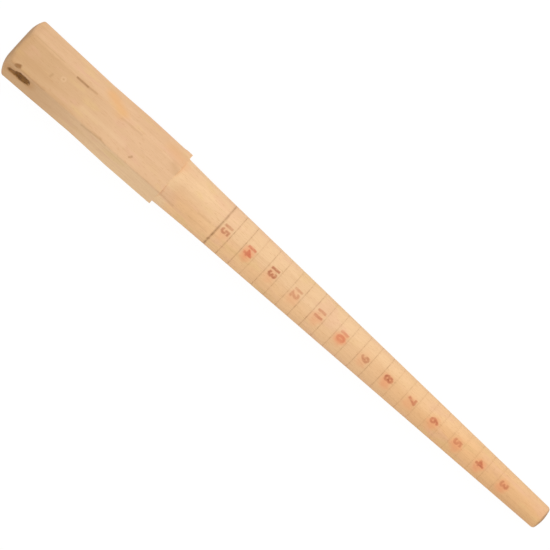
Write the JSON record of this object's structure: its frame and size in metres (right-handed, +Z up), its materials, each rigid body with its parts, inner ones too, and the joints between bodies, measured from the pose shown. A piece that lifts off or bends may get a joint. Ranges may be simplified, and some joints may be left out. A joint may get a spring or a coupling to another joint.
{
  "type": "ring mandrel",
  "caption": "Wooden ring mandrel: a long turned taper with scribed ring size lines and plain numbers, on a planed six-sided handle.",
  "frame": {"origin": "under the middle of the mandrel's box, on the bench that it lies on", "axes": "+X runs along the mandrel from the handle's butt to the tip, +Z is up, and the mandrel lies on its shoulder's lower edge and its tip, as it comes to rest"},
  "size_m": [0.3344, 0.0324, 0.0303],
  "materials": {
    "bare_wood": "sanded, no varnish",
    "scale_ink": "red stamping ink soaked into the bare wood of the scale",
    "scribed_line": "wood browned at the bottom of each line of the scale"
  },
  "bodies": {
    "root": {"ring_mandrel": "bare_wood"}
  },
  "joints": []
}
